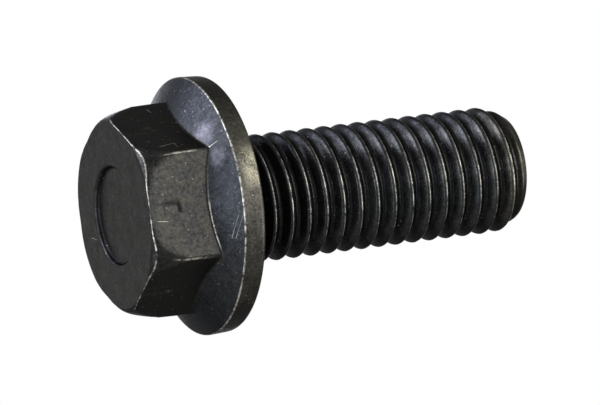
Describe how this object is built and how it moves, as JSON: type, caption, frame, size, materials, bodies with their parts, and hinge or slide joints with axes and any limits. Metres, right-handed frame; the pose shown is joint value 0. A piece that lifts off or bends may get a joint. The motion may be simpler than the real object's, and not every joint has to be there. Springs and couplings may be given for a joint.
{
  "type": "flange bolt",
  "caption": "Black hexagon flange bolt with a round collar under the head, a shallow round recess in the head and a coarse full-length thread.",
  "frame": {"origin": "centre of the flange's bearing face, on the bolt's axis", "axes": "+Z along the shank, from the bearing face to the tip; the bolt stands on its head"},
  "size_m": [0.024, 0.024, 0.0399],
  "materials": {
    "black_oxide_steel": "black oxide on forged and rolled steel, with worn bright edges"
  },
  "bodies": {
    "root": {"flange_bolt": "black_oxide_steel"}
  },
  "joints": []
}
